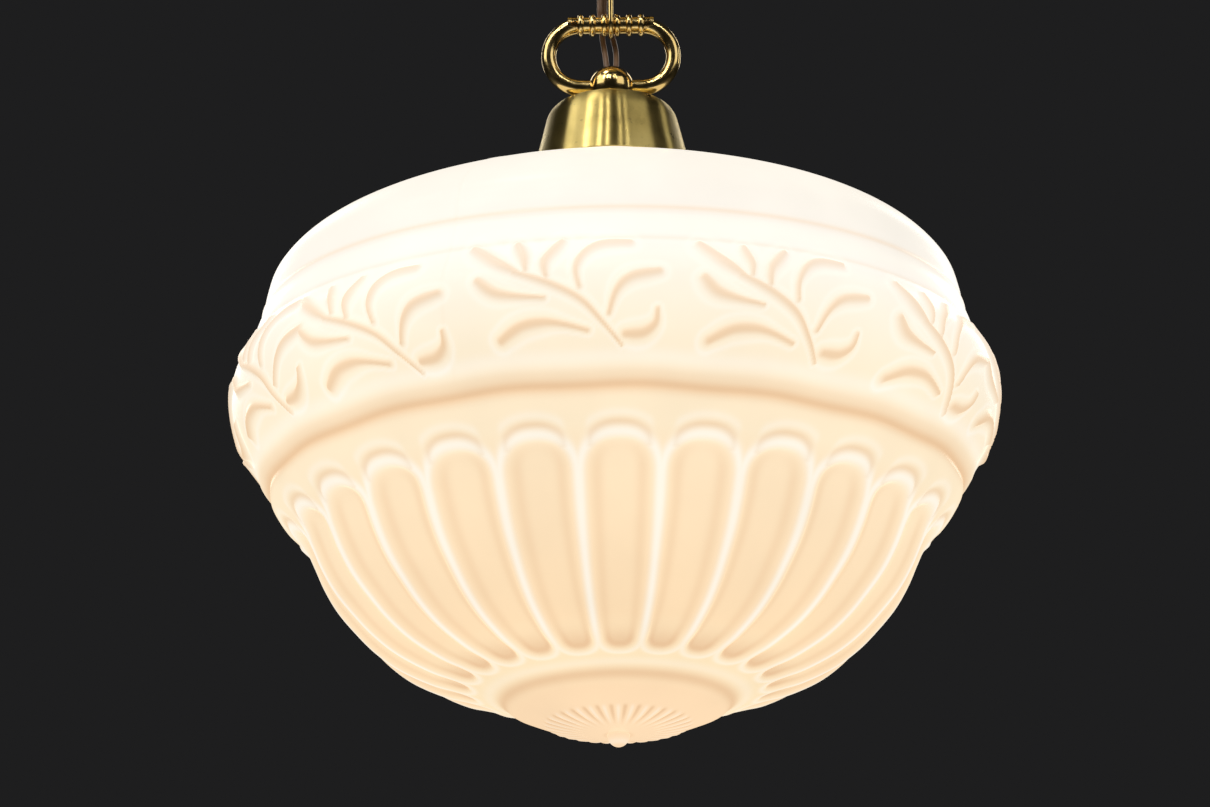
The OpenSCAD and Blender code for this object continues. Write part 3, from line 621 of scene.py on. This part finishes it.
class Nodes:
    """A small wrapper that makes a material's nodes and links them."""

    def __init__(self, name):
        self.material = bpy.data.materials.new(name)
        self.material.use_nodes = True
        self.tree = self.material.node_tree
        self.shader = self.tree.nodes["Principled BSDF"]

    def add(self, kind, inputs=None, **settings):
        node = self.tree.nodes.new(kind)
        for key, value in settings.items():
            setattr(node, key, value)
        for key, value in (inputs or {}).items():
            self.put(node.inputs[key], value)
        return node

    def put(self, socket, value):
        if isinstance(value, bpy.types.NodeSocket):
            self.tree.links.new(value, socket)
        else:
            socket.default_value = value

    def set(self, **inputs):
        for key, value in inputs.items():
            self.put(self.shader.inputs[key.replace("_", " ")], value)

    def place(self, scale=(1, 1, 1)):
        coords = self.add("ShaderNodeTexCoord").outputs["Object"]
        return self.add("ShaderNodeMapping", {"Vector": coords, "Scale": scale}).outputs[0]

    def noise(self, scale, detail=3.0, rough=0.5, stretch=(1, 1, 1)):
        return self.add("ShaderNodeTexNoise", {
            "Vector": self.place(stretch), "Scale": scale, "Detail": detail,
            "Roughness": rough}).outputs[0]

    def ramp(self, fac, stops):
        node = self.add("ShaderNodeValToRGB", {"Fac": fac})
        ramp = node.color_ramp
        while len(ramp.elements) < len(stops):
            ramp.elements.new(0.5)
        for element, (at, colour) in zip(ramp.elements, stops):
            element.position = at
            element.color = (*colour, 1)
        return node.outputs[0]

    def spread(self, value, low, high, to_low, to_high):
        return self.add("ShaderNodeMapRange", {
            "Value": value, "From Min": low, "From Max": high,
            "To Min": to_low, "To Max": to_high}).outputs[0]

    def mix(self, fac, a, b, blend="MIX"):
        node = self.add("ShaderNodeMix", data_type="RGBA", blend_type=blend)
        self.put(node.inputs[0], fac)
        for socket, value in ((node.inputs[6], a), (node.inputs[7], b)):
            self.put(socket, (*value, 1) if isinstance(value, tuple) else value)
        return node.outputs[2]

    def bumps(self, height, distance, strength):
        return self.add("ShaderNodeBump", {
            "Height": height, "Distance": distance, "Strength": strength}).outputs[0]


def opal_glass():
    m = Nodes("opal_glass")
    glow = m.add("ShaderNodeVertexColor", layer_name="glow").outputs[0]
    cloud = m.spread(m.noise(14, 3, 0.55), 0.3, 0.7, 0.955, 1.03)
    lit = m.mix(1.0, glow, cloud, "MULTIPLY")
    # The base colour is the painted glow too, with its painted shade and light, dimmed
    m.set(Base_Color=m.mix(1.0, glow, (0.26, 0.25, 0.24), "MULTIPLY"), Roughness=0.3, IOR=1.5,
          Specular_IOR_Level=0.1, Emission_Color=lit, Emission_Strength=0.985)
    m.put(m.shader.inputs["Normal"], m.bumps(m.noise(160, 3, 0.5), 0.00012, 0.5))
    m.material.cycles.emission_sampling = "NONE"
    return m.material


def polished_brass():
    m = Nodes("polished_brass")
    cloud = m.noise(60, 4, 0.6)
    gold = [(0.25, (0.62, 0.42, 0.14)), (0.5, (0.82, 0.60, 0.24)), (0.8, (0.92, 0.72, 0.34))]
    m.set(Base_Color=m.ramp(cloud, gold), Metallic=1.0,
          Roughness=m.spread(m.noise(240, 4, 0.6), 0.3, 0.75, 0.10, 0.24))
    scratches = m.noise(1600, 2, 0.6, (1, 1, 0.12))
    m.put(m.shader.inputs["Normal"], m.bumps(scratches, 0.00002, 0.35))
    return m.material


def satin_brass():
    m = Nodes("satin_brass")
    tarnish = m.noise(38, 5, 0.62)
    colour = m.ramp(tarnish, [
        (0.3, (0.38, 0.28, 0.09)), (0.48, (0.62, 0.48, 0.16)), (0.75, (0.76, 0.61, 0.23))])
    spots = m.spread(m.noise(420, 2, 0.5), 0.66, 0.74, 0.0, 0.35)
    m.set(Base_Color=m.mix(spots, colour, (0.20, 0.14, 0.07)), Metallic=1.0,
          Roughness=m.spread(m.noise(90, 4, 0.6), 0.3, 0.7, 0.26, 0.36),
          Anisotropic=1.0, Anisotropic_Rotation=0.25)
    round_z = m.add("ShaderNodeTangent", direction_type="RADIAL", axis="Z").outputs[0]
    m.put(m.shader.inputs["Tangent"], round_z)
    lines = m.noise(900, 2, 0.7, (0.02, 0.02, 1))
    m.put(m.shader.inputs["Normal"], m.bumps(lines, 0.00002, 0.3))
    return m.material


def plain_metal(name, low, high, roughness):
    m = Nodes(name)
    cloud = m.noise(80, 4, 0.6)
    m.set(Base_Color=m.ramp(cloud, [(0.3, low), (0.7, high)]), Metallic=1.0,
          Roughness=m.spread(m.noise(500, 3, 0.6), 0.3, 0.7, roughness - 0.07, roughness + 0.08))
    m.put(m.shader.inputs["Normal"], m.bumps(m.noise(1500, 2, 0.6), 0.00002, 0.4))
    return m.material


def plain_solid(name, low, high, roughness, grain=300, depth=0.00003, coat=0.0):
    m = Nodes(name)
    m.set(Base_Color=m.ramp(m.noise(70, 4, 0.6), [(0.3, low), (0.7, high)]),
          Roughness=m.spread(m.noise(grain, 3, 0.6), 0.3, 0.7, roughness - 0.06, roughness + 0.06),
          Coat_Weight=coat, Coat_Roughness=0.1)
    m.put(m.shader.inputs["Normal"], m.bumps(m.noise(grain * 2, 3, 0.6), depth, 0.4))
    return m.material


def lit_bulb():
    m = Nodes("frosted_glass")
    low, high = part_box("bulb_glass")
    coords = m.add("ShaderNodeTexCoord").outputs["Object"]
    z = m.add("ShaderNodeSeparateXYZ", {"Vector": coords}).outputs[2]
    share = m.spread(z, low.z, high.z, 0, 1)
    hot = m.ramp(share, [
        (0.0, (1.0, 0.80, 0.50)), (0.36, (1.0, 0.93, 0.78)), (0.75, (0.95, 0.66, 0.36)),
        (1.0, (0.6, 0.36, 0.18))])
    m.set(Base_Color=m.mix(m.noise(200, 3), (0.80, 0.78, 0.72), (0.86, 0.84, 0.78)), Roughness=0.35,
          Emission_Color=hot, Emission_Strength=1.6)
    m.material.cycles.emission_sampling = "NONE"
    return m.material


def clear_glass():
    m = Nodes("clear_glass")
    m.set(Base_Color=m.mix(m.noise(120, 2), (0.86, 0.93, 0.91), (0.93, 0.96, 0.95)), Roughness=0.05,
          IOR=1.5, Transmission_Weight=0.9)
    return m.material


def hot_wire():
    m = Nodes("tungsten")
    m.set(Base_Color=m.mix(m.noise(900, 2), (0.20, 0.19, 0.18), (0.34, 0.33, 0.32)),
          Metallic=1.0, Roughness=0.4, Emission_Color=(1.0, 0.62, 0.25, 1), Emission_Strength=2.0)
    m.material.cycles.emission_sampling = "NONE"
    return m.material


MATERIALS = {
    "opal_glass": opal_glass(),
    "polished_brass": polished_brass(),
    "satin_brass": satin_brass(),
    "plain_brass": plain_metal("plain_brass", (0.50, 0.35, 0.12), (0.70, 0.51, 0.21), 0.32),
    "zinc_steel": plain_metal("zinc_steel", (0.46, 0.46, 0.45), (0.62, 0.62, 0.60), 0.38),
    "bright_steel": plain_metal("bright_steel", (0.40, 0.42, 0.46), (0.60, 0.62, 0.64), 0.25),
    "cap_metal": plain_metal("cap_metal", (0.60, 0.60, 0.58), (0.76, 0.76, 0.74), 0.28),
    "thermoplastic": plain_solid("thermoplastic", (0.70, 0.66, 0.54), (0.78, 0.75, 0.64), 0.45),
    "gasket_rubber": plain_solid(
        "gasket_rubber", (0.025, 0.024, 0.022), (0.05, 0.047, 0.044), 0.7, 500, 0.0001),
    "porcelain": plain_solid(
        "porcelain", (0.74, 0.73, 0.69), (0.82, 0.81, 0.77), 0.22, 120, 0.00005, 0.5),
    "black_vitrite": plain_solid(
        "black_vitrite", (0.008, 0.008, 0.01), (0.02, 0.02, 0.024), 0.15, 200, 0.00004, 0.4),
    "wire_brown": plain_solid(
        "wire_brown", (0.16, 0.085, 0.045), (0.25, 0.145, 0.085), 0.36, 700, 0.00003, 0.15),
    "frosted_glass": lit_bulb(),
    "clear_glass": clear_glass(),
    "tungsten": hot_wire(),
}


def dress():
    """Gives every piece and every CAD node the material of its slot."""
    slots = {row["node"]: row["material_slot"] for row in frame["record"]["subparts"]}
    for name, obj in NODES.items():
        obj.data.materials.clear()
        obj.data.materials.append(MATERIALS[slots[name]])
    for obj in bpy.context.scene.objects:
        if obj.type == "MESH" and "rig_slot" in obj:
            obj.data.materials.clear()
            obj.data.materials.append(MATERIALS[obj["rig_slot"]])


dress()


# ---- Stage and light ----------------------------------------------------------------------


def make_floor():
    """A pale floor, as far below the lamp as in a room."""
    half, level = 30.0, -2.6
    corners = [(x, y, level) for x, y in ((-half, -half), (half, -half), (half, half), (-half, half))]
    floor = link_mesh("floor", corners, [(0, 1, 2, 3)])
    m = Nodes("pale_floor")
    pale = m.ramp(m.noise(0.8, 4, 0.5), [(0.3, (0.60, 0.59, 0.57)), (0.7, (0.64, 0.63, 0.61))])
    m.set(Base_Color=pale, Roughness=0.8)
    floor.data.materials.append(m.material)


def make_world():
    world = bpy.data.worlds.new("studio")
    world.use_nodes = True
    background = world.node_tree.nodes["Background"]
    background.inputs[0].default_value = (0.013, 0.013, 0.0135, 1)
    background.inputs[1].default_value = 1.0
    bpy.context.scene.world = world


def softbox(name, azimuth, height, distance, width, tall, power):
    """An area light at an azimuth counted from the viewer, facing the lamp's head."""
    data = bpy.data.lights.new(name, "AREA")
    data.shape = "RECTANGLE"
    data.size, data.size_y = width, tall
    data.energy = power
    data.color = (1, 0.97, 0.92)
    light = bpy.data.objects.new(name, data)
    a = math.radians(azimuth)
    light.location = (distance * math.sin(a), -distance * math.cos(a), height)
    target = Vector((0, 0, TIP + 0.28))
    light.rotation_mode = "QUATERNION"
    light.rotation_quaternion = (target - light.location).to_track_quat("-Z", "Y")
    light.visible_camera = False
    bpy.context.scene.collection.objects.link(light)


# Name, azimuth, width in metres and power in watts
STRIPS = [
    ("strip_far_left", -85, 0.14, 4), ("strip_left", -46, 0.12, 10),
    ("strip_near_left", -22, 0.10, 10), ("strip_front", -8, 0.08, 8),
    ("strip_near_right", 15, 0.08, 4), ("strip_right", 27, 0.10, 3.5)]


def make_lights():
    # Narrow strips high in front draw the upright streaks on the spun brass
    for name, azimuth, width, power in STRIPS:
        softbox(name, azimuth, 2.2, 2.4, width, 1.2, power)
    softbox("overhead_left", -60, 3.0, 1.2, 0.7, 0.7, 14)
    softbox("side_right", 100, 0.8, 3.0, 0.5, 1.2, 4)
    # Broad and dim, so the brass has no black parts
    softbox("fill_left", -58, 1.6, 2.8, 2.2, 2.2, 26)
    softbox("fill_right", 48, 1.2, 2.8, 2.0, 2.0, 14)
    softbox("back_left", 205, 1.2, 3.0, 0.6, 1.6, 8)
    softbox("back_right", 150, 1.2, 3.0, 0.6, 1.6, 8)


make_floor()
make_world()
make_lights()
bpy.context.scene.view_settings.view_transform = "Standard"
